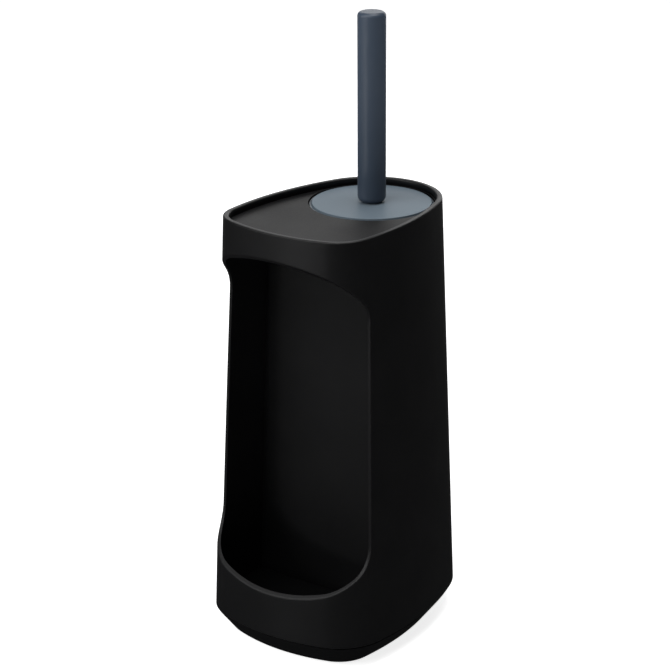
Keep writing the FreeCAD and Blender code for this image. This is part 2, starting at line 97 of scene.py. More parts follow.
# Steps of the housing's grid: along a slope of the opening, up its rear edge, and round to the back.
ACROSS = 44
UPRIGHT = 72
SIDEWAYS = 60

# The angle between neighbouring filaments of a tuft, which spreads them evenly over a disc.
GOLDEN_ANGLE = 2.399963


# ---- the plan of the housing
def arc_plan():
    """The four arcs of the right half of the rim's plan as (centre x, centre y, radius, start, end).
    Each arc is tangent to the next: front, front corner, long side and rear lobe."""
    front_y = FRONT_Y + FRONT_RADIUS
    corner_y = front_y - math.sqrt((FRONT_RADIUS - CORNER_RADIUS) ** 2 - CORNER_X**2)
    to_corner = SIDE_RADIUS - CORNER_RADIUS
    to_lobe = SIDE_RADIUS - LOBE_RADIUS
    span = math.hypot(CORNER_X, corner_y - LOBE_Y)
    along = (to_corner**2 - to_lobe**2 + span**2) / (2 * span)
    across = math.sqrt(to_corner**2 - along**2)
    ux = -CORNER_X / span
    uy = (LOBE_Y - corner_y) / span
    side_x = CORNER_X + ux * along - uy * across
    side_y = corner_y + uy * along + ux * across
    a_front = math.atan2(corner_y - front_y, CORNER_X)
    a_corner = math.atan2(corner_y - side_y, CORNER_X - side_x)
    a_side = math.atan2(LOBE_Y - side_y, -side_x)
    front = (0.0, front_y, FRONT_RADIUS, -math.pi / 2, a_front)
    corner = (CORNER_X, corner_y, CORNER_RADIUS, a_front, a_corner)
    long_side = (side_x, side_y, SIDE_RADIUS, a_corner, a_side)
    lobe = (0.0, LOBE_Y, LOBE_RADIUS, a_side, math.pi / 2)
    return np.array([front, corner, long_side, lobe])


ARCS = arc_plan()
ARC_LENGTHS = ARCS[:, 2] * (ARCS[:, 4] - ARCS[:, 3])
ARC_STARTS = np.concatenate([[0.0], np.cumsum(ARC_LENGTHS)])
HALF_ROUND = ARC_STARTS[-1]


def plan_parts(s):
    """Centre, radius and direction angle of the rim's plan at the distance s round it from the middle
    of the front. Negative s is the left half."""
    size = np.clip(np.abs(s), 0, HALF_ROUND)
    i = np.clip(np.searchsorted(ARC_STARTS, size, side="right") - 1, 0, 3)
    angle = ARCS[i, 3] + (size - ARC_STARTS[i]) / ARCS[i, 2]
    return ARCS[i, 0], ARCS[i, 1], ARCS[i, 2], angle, np.where(s < 0, -1.0, 1.0)


def plan_xy(s, grow):
    """Points of the plan moved outwards by grow: centre plus (radius + grow) times the direction."""
    cx, cy, radius, angle, side = plan_parts(s)
    x = side * (cx + (radius + grow) * np.cos(angle))
    y = cy + (radius + grow) * np.sin(angle)
    return x, y


def taper(z):
    """How far the housing's outside stands outside the rim's plan at the height z."""
    return FLARE * (RIM_Z - z) / (RIM_Z - SKIRT_Z)


# ---- meshes from grids and loops
def stack(x, y, z):
    """Coordinates of any shapes that fit together, as one array of points."""
    return np.stack(np.broadcast_arrays(x, y, z), axis=-1).astype(float)


def fillet(corners, steps):
    """An outline through corners (a, b) or (a, b, radius), each radius drawn as an arc of equal steps
    that is tangent to both its sides."""
    count = len(corners)
    points = []
    for i, corner in enumerate(corners):
        here = np.array(corner[:2], float)
        radius = corner[2] if len(corner) > 2 else 0.0
        if not radius:
            points.append(here)
            continue
        back = np.array(corners[i - 1][:2], float) - here
        ahead = np.array(corners[(i + 1) % count][:2], float) - here
        back /= np.linalg.norm(back)
        ahead /= np.linalg.norm(ahead)
        half = math.acos(np.clip(back @ ahead, -1, 1)) / 2
        middle = (back + ahead) / np.linalg.norm(back + ahead)
        centre = here + middle * radius / math.sin(half)
        first = here + back * radius / math.tan(half) - centre
        last = here + ahead * radius / math.tan(half) - centre
        for t in np.linspace(0, 1, steps + 1):
            mix = first * (1 - t) + last * t
            points.append(centre + mix * radius / np.linalg.norm(mix))
    return np.array(points)


def grid_faces(rows, columns, start, closed=False):
    """Quads between neighbouring rows of a grid whose points are numbered from start."""
    across = columns if closed else columns - 1
    i, j = np.meshgrid(np.arange(rows - 1), np.arange(across), indexing="ij")
    k = (j + 1) % columns
    a, b = start + i * columns + j, start + i * columns + k
    return np.stack([a, b, b + columns, a + columns], axis=-1).reshape(-1, 4)


def finish_edit(edit, mesh):
    """Turns all faces outwards, which makes the volume positive, and writes the mesh back."""
    bmesh.ops.recalc_face_normals(edit, faces=edit.faces)
    if edit.calc_volume(signed=True) < 0:
        bmesh.ops.reverse_faces(edit, faces=edit.faces)
    edit.to_mesh(mesh)
    edit.free()


def new_object(name, data):
    """A new object in the scene, at the origin."""
    made = bpy.data.objects.new(name, data)
    bpy.context.scene.collection.objects.link(made)
    return made


def make_piece(name, grids, body, replaces, material):
    """Joins grids of points into one mesh, merges the seams and poles, turns the faces outwards,
    hangs the piece on its body's empty and hides the CAD parts it replaces. A grid is (points, closed
    round its columns)."""
    points, faces, start = [], [], 0
    for grid, closed in grids:
        rows, columns = grid.shape[:2]
        points.append(grid.reshape(-1, 3) * MM)
        faces.append(grid_faces(rows, columns, start, closed))
        start += rows * columns
    mesh = bpy.data.meshes.new(name)
    mesh.from_pydata(np.concatenate(points), [], np.concatenate(faces).tolist())
    edit = bmesh.new()
    edit.from_mesh(mesh)
    bmesh.ops.remove_doubles(edit, verts=edit.verts, dist=2e-6)
    bmesh.ops.dissolve_degenerate(edit, edges=edit.edges, dist=1e-7)
    finish_edit(edit, mesh)
    mesh.polygons.foreach_set("use_smooth", np.full(len(mesh.polygons), True))
    mesh.materials.append(material)
    piece = new_object(name, mesh)
    weigh = piece.modifiers.new("Even shading", "WEIGHTED_NORMAL")
    weigh.weight = 80
    weigh.keep_sharp = True
    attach(piece, body)
    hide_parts(*replaces)


def turned(profile, around, centre=AXIS, closed=True, wave=None):
    """A profile (radius, height) carried round a vertical line. wave adds to the radius as a function
    of radius, angle and height. A profile that ends on the line closes there."""
    profile = np.asarray(profile, float)
    if closed:
        profile = np.vstack([profile, profile[:1]])
    angle = np.linspace(0, 2 * math.pi, around, endpoint=False)
    radius = profile[:, :1] + np.zeros((1, around))
    height = profile[:, 1:2] + np.zeros((1, around))
    if wave is not None:
        radius = radius + wave(radius, angle[None, :], height)
    x = centre[0] + radius * np.cos(angle)
    y = centre[1] + radius * np.sin(angle)
    return stack(x, y, height), True


def ringed(rows, s):
    """Rows carried round the housing's plan. A row is ("plan", grow, z), ("well", radius, z) about the
    brush's axis, or ("shrunk", share, grow, z), which draws the plan in towards the middle."""
    out = []
    for row in rows:
        kind, *rest = row
        if kind == "plan":
            x, y = plan_xy(s, rest[0])
            z = rest[1]
        elif kind == "well":
            x, y = plan_xy(s, 0.0)
            reach = np.hypot(x - AXIS[0], y - AXIS[1])
            x = AXIS[0] + (x - AXIS[0]) / reach * rest[0]
            y = AXIS[1] + (y - AXIS[1]) / reach * rest[0]
            z = rest[1]
        else:
            x, y = plan_xy(s, rest[1])
            x, y = x * rest[0], y * rest[0]
            z = rest[2]
        out.append(stack(x, y, z))
    return np.stack(out), True


def round_steps(count):
    """Equal steps all the way round the plan, without repeating the first."""
    return np.linspace(-HALF_ROUND, HALF_ROUND, count, endpoint=False)


# ---- the housing
class Opening:
    """The bay's opening as seen from the side: w is the distance behind the front face and z the
    height. Straight slopes at the top and bottom run into a rear edge over two arcs. spread makes the
    opening larger all round, as the rounding of its edge needs."""

    def __init__(self, spread, opening):
        self.wrap = opening.wrap / MM + spread
        self.low = self.turn(opening.bottom / MM, opening.bottom_slope, opening.bottom_turn / MM, 1, spread)
        self.high = self.turn(opening.top / MM, opening.top_slope, opening.top_turn / MM, -1, spread)

    def turn(self, height, slope, radius, up, spread):
        """One edge's slope and the arc that is tangent to it and to the rear edge. up is 1 below the
        opening and -1 above it. The mid point halves the arc."""
        radius = radius + spread
        start = height - up * spread / math.cos(slope)
        corner = start + up * math.tan(slope) * self.wrap
        reach = radius * math.tan((math.pi / 2 - slope) / 2)
        middle = (math.pi / 2 - slope) / 2
        return {
            "start": start,
            "slope": slope,
            "up": up,
            "radius": radius,
            "w": self.wrap - radius,
            "z": corner + up * reach,
            "straight": self.wrap - reach * math.cos(slope),
            "mid_w": self.wrap - radius + radius * math.cos(middle),
            "mid_z": corner + up * reach - up * radius * math.sin(middle),
        }

    def height(self, turn, w):
        """Height of the top or bottom edge at w: the slope, then the arc."""
        line = turn["start"] + turn["up"] * math.tan(turn["slope"]) * w
        drop = np.sqrt(np.maximum(turn["radius"] ** 2 - (w - turn["w"]) ** 2, 0))
        return np.where(w < turn["straight"], line, turn["z"] - turn["up"] * drop)

    def depth(self, z):
        """Distance behind the front of the rear edge at z: the arcs, and the straight edge between."""
        w = np.full(np.shape(z), self.wrap)
        for turn in (self.low, self.high):
            out = turn["up"] * (turn["z"] - z)
            arc = turn["w"] + np.sqrt(np.maximum(turn["radius"] ** 2 - out**2, 0))
            w = np.where(out > 0, arc, w)
        return w


def behind_front(s, z, inset):
    """How far a point of the housing's wall lies behind the middle of its front face."""
    y = plan_xy(s, taper(z) - inset)[1]
    return y - FRONT_Y + taper(z)


def solve_round(z, inset, target):
    """The distance round the plan at which the wall is target behind the front, by halving."""
    low = np.zeros(np.shape(z))
    high = np.full(np.shape(z), HALF_ROUND * 0.7)
    for _ in range(44):
        middle = (low + high) / 2
        short = behind_front(middle, z, inset) < target
        low = np.where(short, middle, low)
        high = np.where(short, high, middle)
    return (low + high) / 2


def opening_edges(inset, spread, opening):
    """The right half of the opening's edge on the wall at a depth inset: bottom, rear and top parts,
    each as arrays (s, z)."""
    shape = Opening(spread, opening)
    parts = {}
    for name, turn in (("low", shape.low), ("high", shape.high)):
        end = solve_round(np.array([turn["mid_z"]]), inset, turn["mid_w"])[0]
        s = end * (1 - (1 - np.linspace(0, 1, ACROSS)) ** 1.35)
        z = np.full(s.shape, turn["start"])
        for _ in range(30):
            z = shape.height(turn, behind_front(s, z, inset))
        parts[name] = (s, z)
    low, high = shape.low["mid_z"], shape.high["mid_z"]
    share = (1 - np.cos(np.linspace(0, math.pi, UPRIGHT))) / 2
    share = 0.55 * share + 0.45 * np.linspace(0, 1, UPRIGHT)
    z = low + (high - low) * share
    parts["rear"] = (solve_round(z, inset, shape.depth(z)), z)
    return parts


def close_steps(count, small):
    """Steps from 0 to 1 that begin with one small step, which keeps the shading flat beside an edge."""
    return np.concatenate([[0.0], small + (1 - small) * np.linspace(0, 1, count)])


def to_the_back(s, z, away):
    """A line of columns carried on from its last point, level, to the middle of the back."""
    beside = s[-1] + away[1:] * (HALF_ROUND - s[-1])
    return np.concatenate([s, beside]), np.concatenate([z, np.full(len(beside), z[-1])])


def wall_grid(inset, spread, low_z, high_z, opening):
    """The wall at a depth inset as a grid with the opening left out. Below and above the opening the
    columns run straight up; beside it each row runs from the opening's edge to the rear middle."""
    edge = opening_edges(inset, spread, opening)
    s_rear, z_rear = edge["rear"]
    away = close_steps(SIDEWAYS, 0.004)
    below = 1 - close_steps(10, 0.02)[::-1]
    above = close_steps(6, 0.02)
    s0, z0 = to_the_back(*edge["low"], away)
    s1, z1 = to_the_back(*edge["high"], away)
    foot_s = s0 + np.zeros((len(below), 1))
    foot_z = low_z + below[:, None] * (z0 - low_z)
    side_s = s_rear[:, None] + away * (HALF_ROUND - s_rear[:, None])
    side_z = z_rear[:, None] + np.zeros_like(away)
    head_s = s1 + np.zeros((len(above), 1))
    head_z = z1 + above[:, None] * (high_z - z1)
    grids = []
    for s, z in ((foot_s, foot_z), (side_s, side_z), (head_s, head_z)):
        for side in (1, -1):
            x, y = plan_xy(s, taper(z) - inset)
            grids.append((stack(side * x, y, z), False))
    return grids, s0, s1


def edge_loop(inset, spread, opening):
    """The opening's whole edge at a depth inset as one closed loop of points."""
    edge = opening_edges(inset, spread, opening)
    s = np.concatenate([edge["low"][0], edge["rear"][0][1:-1], edge["high"][0][::-1]])
    z = np.concatenate([edge["low"][1], edge["rear"][1][1:-1], edge["high"][1][::-1]])
    x, y = plan_xy(s, taper(z) - inset)
    right = stack(x, y, z)
    left = right[::-1][1:-1] * (-1, 1, 1)
    return np.concatenate([right, left])


def edge_band(opening):
    """The wall's thickness round the opening: a quarter round, a flat and a smaller quarter round."""
    outer, inner = EDGE_ROUND, INNER_ROUND
    turn = np.linspace(0, math.pi / 2, 6)
    steps = [(outer * (1 - math.cos(a)), outer * (1 - math.sin(a))) for a in turn]
    steps += [(outer + 0.1, 0.0), (WALL - inner - 0.1, 0.0)]
    steps += [(WALL - inner * (1 - math.cos(a)), inner * (1 - math.sin(a))) for a in turn[::-1]]
    return [(np.stack([edge_loop(inset, spread, opening) for inset, spread in steps]), True)]


def boss_grids():
    """The two screw bosses inside the rear lobe, each with a web to the wall."""
    end = LOBE_RADIUS + taper(BASE_Z) - WALL / 2
    grids = []
    for side in (1, -1):
        angle = math.pi / 2 - side * BOSS_ANGLE
        along = np.array([math.cos(angle), math.sin(angle)])
        across = np.array([-along[1], along[0]])
        middle = np.array([0, LOBE_Y]) + along * BOSS_REACH
        rows = [(SCREW_BORE, BASE_Z), (6.5, BASE_Z), (6.5, BOSS_TOP_Z - 0.6)]
        rows += [(5.9, BOSS_TOP_Z), (SCREW_BORE, BOSS_TOP_Z)]
        grids.append(turned(rows, 40, middle))
        corners = []
        tip = end - BOSS_REACH
        for out, half in ((6.0, -1.5), (6.0, 1.5), (tip, 1.5), (tip, -1.5)):
            corners.append(middle + along * out + across * half)
        corners = np.array(corners)
        loops = [corners.mean(axis=0) + (corners - corners.mean(axis=0)) * k for k in (0, 1, 1, 0)]
        heights = (BASE_Z, BASE_Z, BOSS_TOP_Z, BOSS_TOP_Z)
        web = [stack(loop[:, 0], loop[:, 1], z) for loop, z in zip(loops, heights)]
        grids.append((np.stack(web), True))
    return grids


def housing_grids(opening):
    """The housing: both faces of its wall, the band round the opening, the rim with a quarter round on
    each side, the skirt's rounded lower edge, and the bosses."""
    rim_round = 1.5
    rim_inside = 1.8
    skirt_round = 0.8
    outer_top = RIM_Z - rim_round
    outer_low = SKIRT_Z + skirt_round
    inner_low = SKIRT_Z + 0.4
    grids, s_low, s_high = wall_grid(0.0, EDGE_ROUND, outer_low, outer_top, opening)
    inner, s_low_in, s_high_in = wall_grid(WALL, INNER_ROUND, inner_low, DECK_Z, opening)
    grids += inner
    grids += edge_band(opening)
    turn = np.linspace(0, math.pi / 2, 6)
    rows = []
    for share, a in zip(np.linspace(0, 1, len(turn)), turn):
        grow = taper(outer_top) * (1 - share) - rim_round * (1 - math.cos(a))
        rows.append((grow, outer_top + rim_round * math.sin(a)))
    rows += [(-rim_round - 0.1, RIM_Z), (-RIM_WIDTH + rim_inside + 0.1, RIM_Z)]
    for a in turn:
        grow = -RIM_WIDTH + rim_inside * (1 - math.sin(a))
        rows.append((grow, RIM_Z - rim_inside * (1 - math.cos(a))))
    rows += [(-RIM_WIDTH, DECK_Z), (taper(DECK_Z) - WALL, DECK_Z)]
    grids += blended_band(rows, s_high, s_high_in)
    rows = []
    for a in turn:
        grow = taper(outer_low) - skirt_round * (1 - math.cos(a))
        rows.append((grow, outer_low - skirt_round * math.sin(a)))
    rows += [(taper(SKIRT_Z) - WALL + 0.4, SKIRT_Z), (taper(inner_low) - WALL, inner_low)]
    grids += blended_band(rows, s_low, s_low_in)
    return grids + boss_grids()


def blended_band(rows, s_first, s_last):
    """Rows (grow, z) round the plan, whose columns go from those of one wall to those of the other."""
    grids = []
    share = np.linspace(0, 1, len(rows))
    for side in (1, -1):
        loops = []
        for (grow, z), k in zip(rows, share):
            x, y = plan_xy(s_first * (1 - k) + s_last * k, grow)
            loops.append(stack(side * x, y, z))
        grids.append((np.stack(loops), False))
    return grids


def deck_grids():
    """The top plate: outer edge, top, the stepped well, and the ribbed underside."""
    edge = taper(DECK_Z) - WALL - FIT_GAP
    plate_low = DECK_Z - 3.0
    rows = [("plan", edge, DECK_LOW_Z), ("plan", edge, DECK_Z - 0.3)]
    rows += [("plan", edge - 0.3, DECK_Z), ("plan", edge - 1.9, DECK_Z)]
    turn = np.linspace(0, math.pi / 2, 5)
    rows += [("well", 61.1 - 0.5 * math.sin(a), DECK_Z - 0.5 * (1 - math.cos(a))) for a in turn]
    rows += [("well", 60.6, LEDGE_Z + 0.3), ("well", 60.3, LEDGE_Z)]
    rows += [("well", 52.8, LEDGE_Z), ("well", 52.5, LEDGE_Z - 0.3)]
    rows += [("well", 52.5, DECK_LOW_Z + 0.3), ("well", 52.8, DECK_LOW_Z)]
    rows += [("well", 61.6, DECK_LOW_Z), ("well", 61.6, plate_low)]
    rows += [("plan", edge - 2.4, plate_low), ("plan", edge - 2.4, DECK_LOW_Z)]
    rows += [("plan", edge, DECK_LOW_Z)]
    return [ringed(rows, round_steps(320))]


def panel_half_width(y, z):
    """Half the width inside the housing at a place on its long sides, less the fit gap."""
    cx, cy, radius = ARCS[2, :3]
    return cx + np.sqrt((radius + taper(z) - WALL - FIT_GAP) ** 2 - (y - cy) ** 2)


def panel_grids():
    """The partition: a slab whose sides follow the housing, closed above and below, with two bosses."""
    front, rear = -18.0, -15.4
    columns = 33
    z = np.linspace(BASE_Z, DECK_LOW_Z, 40)[:, None]
    u = np.linspace(-1, 1, columns)
    face = panel_half_width(front, z) * u
    back = panel_half_width(rear, z) * u[::-1]
    sides = [stack(face, front, z), stack(back, rear, z)]
    loop = np.concatenate(sides, axis=1)
    grids = [(loop, True)]
    for row in (0, -1):
        cap = np.stack([loop[row, :columns], loop[row, columns:][::-1]])
        grids.append((cap, False))
    rows = [(SCREW_BORE, BASE_Z), (4.5, BASE_Z), (4.5, BOSS_TOP_Z - 0.5)]
    rows += [(4.0, BOSS_TOP_Z), (SCREW_BORE, BOSS_TOP_Z)]
    for side in (1, -1):
        grids.append(turned(rows, 32, (side * PANEL_SCREW[0], PANEL_SCREW[1])))
    return grids


def plinth_grids():
    """The base: floor of the bay, a step under the skirt, a wall that draws in to the floor, the hollow
    underside and four posts for the feet."""
    plug = taper(BASE_Z) - WALL - FIT_GAP
    ledge = FLARE - 1.5
    seam = SKIRT_Z - 1.0
    hollow = 26.5
    rows = [("shrunk", k, plug - 0.4, BASE_Z) for k in (0.0, 0.3, 0.6, 0.85, 1.0)]
    rows += [("plan", plug, BASE_Z - 0.4), ("plan", plug, seam)]
    rows += [("plan", ledge - 1.2, seam), ("plan", ledge - 0.35, seam - 0.25)]
    rows += [("plan", ledge - 0.3, seam - 1.2)]
    rows += [("plan", -3.4, 2.0), ("plan", -4.1, 1.45), ("plan", -4.7, 1.2), ("plan", -6.5, 1.2)]
    rows += [("plan", -6.8, 1.5), ("plan", 7.2, hollow - 0.4), ("plan", 6.8, hollow)]
    rows += [("shrunk", k, 6.8, hollow) for k in (0.85, 0.6, 0.3, 0.0)]
    grids = [ringed(rows, round_steps(280))]
    post = [(0.0, 2.6), (9.3, 2.6), (9.6, 2.9), (9.6, hollow + 0.4), (0.0, hollow + 0.4)]
    return grids + [turned(post, 48, place, closed=False) for place in FOOT_PLACES]


def foot_grids():
    """Pads with a rounded edge and one shallow ring in the sole."""
    sole = [(0.0, 0.35), (3.2, 0.35), (3.6, 0.0, 0.1)]
    edge = [(8.0, 0.0, 0.6), (8.0, 2.6, 0.1), (0.0, 2.6)]
    rows = fillet(sole + edge, 3)
    return [turned(rows, 56, place, closed=False) for place in FOOT_PLACES]


def thread(radius, depth, pitch, low, high):
    """Adds a thread to a turned shape: the surface sinks by a triangle wave of height less turn."""

    def wave(r, angle, z):
        phase = (z / pitch - angle / (2 * math.pi)) % 1.0
        sink = depth * np.abs(2 * phase - 1)
        fade = np.clip((z - low) / pitch, 0, 1) * np.clip((high - z) / pitch, 0, 1)
        return np.where(np.abs(r - radius) < 1e-6, -sink * fade, 0.0)

    return wave


def screw_places():
    """The two bores under the partition and the two at BOSS_REACH from the lobe's centre."""
    x, y = PANEL_SCREW
    rear_x = BOSS_REACH * math.sin(BOSS_ANGLE)
    rear_y = LOBE_Y + BOSS_REACH * math.cos(BOSS_ANGLE)
    return [(x, y), (-x, y), (rear_x, rear_y), (-rear_x, rear_y)]


def screw_grids():
    """Pan-head screws with a cross recess: the head's underside is pushed up inside a cross."""
    grids = []
    rows = [(0.0, 41.5), (0.9, 41.4), (SCREW_RADIUS, 40.2)]
    rows += [(SCREW_RADIUS, z) for z in np.linspace(40.2, 27.2, 80)]
    rows += [(SCREW_RADIUS, 26.5), (3.4, 26.5), (3.6, 26.2), (3.6, 25.4), (3.3, 24.7), (2.7, 24.25)]
    rows += [(r, 24.1) for r in np.linspace(2.3, 0.0, 12)]
    wave = thread(SCREW_RADIUS, 0.32, 1.1, 27.5, 40.0)
    for place in screw_places():
        points, closed = turned(rows, 48, place, closed=False, wave=wave)
        dx = points[..., 0] - place[0]
        dy = points[..., 1] - place[1]
        narrow = np.minimum(np.abs(dx), np.abs(dy))
        inside = (np.hypot(dx, dy) < 1.95) & (narrow < 0.42) & (points[..., 2] < 24.2)
        points[..., 2] += np.where(inside, 1.2, 0.0)
        grids.append((points, closed))
    return grids


# ---- the brush
def lid_grids():
    """Round lid with a small step round its top edge, a centring skirt and a hub below."""
    skirt_low = 401.4
    step = 411.2
    hub = [(BORE, LID_Z), (BORE, HUB_LOW_Z), (10.0, HUB_LOW_Z, 0.5), (10.0, FLANGE_Z, 0.8)]
    skirt = [(46.5, FLANGE_Z, 0.6), (46.5, skirt_low, 0.3), (48.5, skirt_low, 0.3), (48.5, FLANGE_Z, 0.5)]
    edge = [(58.1, FLANGE_Z, 0.4), (58.1, step, 0.3), (57.3, step), (57.2, LID_Z, 0.35)]
    return [turned(fillet(hub + skirt + edge, 4), 160)]


def cup_grids():
    """Hanging cup: a rounded foot, a tapered wall, and a flange with a low lip."""
    foot = 147.2
    lip = 412.2
    under = [(0.0, foot + 1.0), (30.0, foot + 1.0, 1.0), (32.0, foot, 0.6), (46.0, foot, 12.0)]
    flange = [(51.5, LEDGE_Z, 0.4), (59.5, LEDGE_Z, 0.3), (59.5, lip, 0.5), (58.4, lip, 0.3)]
    flange += [(58.4, FLANGE_Z, 0.2), (49.7, FLANGE_Z, 0.8)]
    inside = [(44.2, foot + 1.8, 10.2), (0.0, foot + 1.8)]
    return [turned(fillet(under + flange + inside, 6), 128, closed=False)]


def grip_grids():
    """Straight round grip with rounded ends, hollow for the stem's spine."""
    low, high = 414.2, 598.2
    hollow = [(0.0, 588.25), (8.55, 588.25), (8.55, 423.85), (BORE, 423.85), (BORE, low)]
    outside = [(13.55, low, 6.0), (13.55, high, 4.0), (0.0, high)]
    return [turned(fillet(hollow + outside, 9), 96, closed=False)]


def stem_grids():
    """Stem with a bore for the stud, and a wider spine that fills the grip."""
    bore = [(0.0, STUD_TOP_Z), (3.05, STUD_TOP_Z), (3.05, STEM_END_Z)]
    outside = [(5.0, STEM_END_Z, 0.4), (5.0, 423.9, 0.3), (8.5, 423.9, 0.4), (8.5, 588.2, 0.6)]
    return [turned(fillet(bore + outside + [(0.0, 588.2)], 3), 56, closed=False)]


def nut_grids():
    """Round nut with twelve shallow finger flutes: its radius dips as a power of a cosine."""

    def flutes(r, angle, z):
        dip = 0.7 * np.abs(np.cos(6 * angle)) ** 3
        return np.where(r > 8.0, -dip, 0.0)

    low = 392.4
    outline = [(BORE, low), (9.0, low, 0.6), (9.0, HUB_LOW_Z, 0.3), (BORE, HUB_LOW_Z)]
    return [turned(fillet(outline, 3), 144, wave=flutes)]


def stud_grids():
    """Threaded stud with a chamfered lower end."""
    low, high = 240.9, STUD_TOP_Z
    rows = [(0.0, low), (2.3, low), (3.0, low + 0.7)]
    rows += [(3.0, z) for z in np.linspace(low + 0.8, high - 0.1, 230)]
    rows += [(3.0, high), (0.0, high)]
    return [turned(rows, 40, closed=False, wave=thread(3.0, 0.5, 1.0, low + 0.7, high))]


def insert_grids():
    """Brass insert with a knurled outside: small ridges that run straight up."""

    def knurl(r, angle, z):
        return np.where(r > 4.9, -0.18 * (0.5 + 0.5 * np.cos(36 * angle)), 0.0)

    low, high = INSERT_LOW_Z, STEM_END_Z
    rows = [(3.05, low), (4.7, low), (5.0, low + 0.3), (5.0, high - 0.3), (4.7, high), (3.05, high)]
    return [turned(rows, 216, wave=knurl)]


def core_radius(z):
    """Radius of the tapered core: 7 at its foot and 2.5 more at the stem's end."""
    return 7.0 + 2.5 * (z - CORE_LOW_Z) / 78.0


def core_grids():
    """Tapered core with a shallow groove below its collar and a bore for the insert."""
    collar = 247.6
    outside = [(0.0, CORE_LOW_Z), (7.0, CORE_LOW_Z, 1.5), (core_radius(collar), collar, 0.3)]
    outside += [(9.15, collar + 0.8, 0.2), (9.5, STEM_END_Z, 0.5)]
    bore = [(BORE, STEM_END_Z), (BORE, INSERT_LOW_Z), (0.0, INSERT_LOW_Z)]
    return [turned(fillet(outside + bore, 4), 64, closed=False)]


def tip_radius(z):
    """Outer shape of the bristles: a barrel with a large round at its foot and a small one above."""
    low, high, wide = 169.9, 245.9, 37.0
    foot, head = wide / 2, wide / 4
    lower = np.clip((low + foot - z) / foot, 0, 1)
    upper = np.clip((z - (high - head)) / head, 0, 1)
    return wide - foot * (1 - np.sqrt(1 - lower**2)) - head * (1 - np.sqrt(1 - upper**2))


def counted(*sizes):
    """The row, column and strand number of every filament, as three flat arrays."""
    numbers = np.meshgrid(*[np.arange(size) for size in sizes], indexing="ij")
    return [axis.ravel() for axis in numbers]


def bristle_grids():
    """Tufts of thin filaments. Each filament starts in its tuft's hole in the core and bends a little
    downwards on its way to the barrel's surface, spreading away from its neighbours."""
    rng = np.random.default_rng(7)
    rows, around, strands = 15, 22, 9
    row, column, strand = counted(rows, around, strands)
    angle = (column + 0.5 * (row % 2)) * 2 * math.pi / around
    start_z = 180.0 + row * 62.0 / (rows - 1)
    spin = strand * GOLDEN_ANGLE
    spread = np.sqrt(strand / strands) * 3.6
    spread = spread + rng.normal(0, 0.35, spread.shape)
    end_z = np.clip(start_z - 3.0 + spread * np.sin(spin), 171.0, 244.6)
    reach = tip_radius(end_z) - rng.uniform(0.1, 2.2, end_z.shape)
    side = spread * np.cos(spin)
    side_length = 0.9 * np.sqrt(strand / strands)
    begin = core_radius(start_z) - 1.0
    filaments = sweep_filaments(angle, start_z, begin, side_length * np.cos(spin), end_z, reach, side)
    end_rows, end_around = 4, 20
    ring, column, strand = counted(end_rows, end_around, strands)
    angle = (column + 0.5 * (ring % 2)) * 2 * math.pi / end_around
    spin = strand * GOLDEN_ANGLE
    tilt = np.array([0.18, 0.42, 0.66, 0.9])[ring] + rng.normal(0, 0.03, ring.shape)
    wide = 24.0 * tilt
    end_z = 170.2 + 7.5 * tilt**3 + rng.uniform(0, 1.0, ring.shape)
    begin = 1.0 + 5.2 * tilt
    side = np.sqrt(strand / strands) * 2.4 * np.cos(spin)
    reach = wide + np.sqrt(strand / strands) * 2.0 * np.sin(spin)
    start_z = np.full(end_z.shape, 178.5)
    filaments += sweep_filaments(angle, start_z, begin, side * 0.2, end_z, reach, side)
    return filaments


def sweep_filaments(angle, start_z, begin, side_start, end_z, reach, side_end):
    """Three-sided tapering filaments as one stack of grids: along the length the point moves outwards
    in proportion and sinks with the distance to the power 1.6."""
    t = np.linspace(0, 1, 4)[None, :]
    out = begin[:, None] + (reach - begin)[:, None] * t
    sink = start_z[:, None] + (end_z - start_z)[:, None] * t**1.6
    aside = side_start[:, None] + (side_end - side_start)[:, None] * t
    thick = 0.42 - 0.17 * t
    grids = []
    for corner in range(3):
        turn = corner * 2 * math.pi / 3
        shift = thick * math.cos(turn)
        lift = thick * math.sin(turn)
        ca, sa = np.cos(angle)[:, None], np.sin(angle)[:, None]
        x = AXIS[0] + out * ca - (aside + shift) * sa
        y = AXIS[1] + out * sa + (aside + shift) * ca
        grids.append(stack(x, y, sink + lift))
    return [np.stack(grids, axis=2)]


def bristle_mesh(name, parts):
    """One mesh of all the filaments, with three sides and both ends closed."""
    points, quads, caps, start = [], [], [], 0
    for grid in parts:
        count, along, sides = grid.shape[:3]
        index = start + np.arange(count * along * sides).reshape(count, along, sides)
        following = np.roll(index, -1, axis=2)
        a, b = index[:, :-1], following[:, :-1]
        c, d = following[:, 1:], index[:, 1:]
        quads.append(np.stack([a, b, c, d], axis=-1).reshape(-1, 4))
        caps.append(index[:, 0, ::-1])
        caps.append(index[:, -1])
        points.append(grid.reshape(-1, 3) * MM)
        start += count * along * sides
    mesh = bpy.data.meshes.new(name)
    faces = np.concatenate(quads).tolist() + np.concatenate(caps).tolist()
    mesh.from_pydata(np.concatenate(points), [], faces)
    edit = bmesh.new()
    edit.from_mesh(mesh)
    finish_edit(edit, mesh)
    return mesh


# ---- shader node groups and materials
def group_sockets(name, inputs, outputs):
    """A new shader node group with named sockets, and its input and output nodes."""
    tree = bpy.data.node_groups.new(name, "ShaderNodeTree")
    for label, kind, value in inputs:
        socket = tree.interface.new_socket(name=label, in_out="INPUT", socket_type=kind)
        if value is not None:
            socket.default_value = value
    for label, kind in outputs:
        tree.interface.new_socket(name=label, in_out="OUTPUT", socket_type=kind)
    return tree, tree.nodes.new("NodeGroupInput"), tree.nodes.new("NodeGroupOutput")


def fill(tree, node, values):
    """Sets a node's inputs, given by name or number, to plain values or links them to sockets."""
    for which, value in values.items():
        if isinstance(value, bpy.types.NodeSocket):
            tree.links.new(value, node.inputs[which])
        else:
            node.inputs[which].default_value = value


